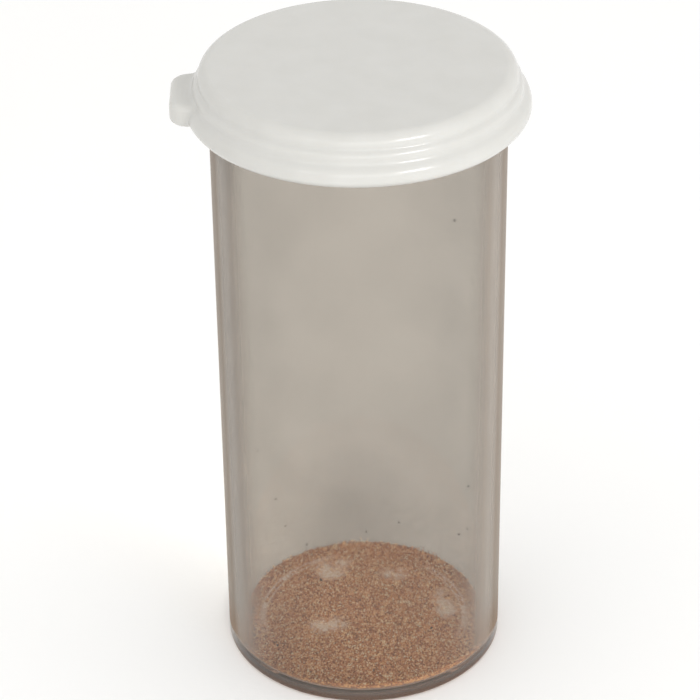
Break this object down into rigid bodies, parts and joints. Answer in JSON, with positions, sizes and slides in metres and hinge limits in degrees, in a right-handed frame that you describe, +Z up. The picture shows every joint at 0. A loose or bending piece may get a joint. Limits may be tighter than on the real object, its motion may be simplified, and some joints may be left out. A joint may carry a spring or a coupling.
{
  "type": "snap-cap sample vial",
  "caption": "Straight-sided see-through vial with a white stepped snap cap and thumb tab, holding a thin bed of copper-tan mineral sand.",
  "frame": {"origin": "centre of the vial's foot, on the surface that it stands on", "axes": "+Z up along the vial's axis towards the cap, -X towards the cap's thumb tab"},
  "size_m": [0.037, 0.0356, 0.0698],
  "materials": {
    "clear_plastic": "polished",
    "white_plastic": "satin",
    "sand": "matte",
    "bright_grain": "gloss",
    "dark_grain": "matte"
  },
  "bodies": {
    "vial": {"vial_body": "clear_plastic", "sample_sand": "sand", "bright_flecks": "bright_grain", "wall_grains": "dark_grain"},
    "cap": {"cap": "white_plastic"}
  },
  "joints": [
    {"name": "cap_lift", "type": "slide", "parent": "vial", "child": "cap", "axis": [0, 0, 1], "range_m": [0, 0.04]}
  ]
}
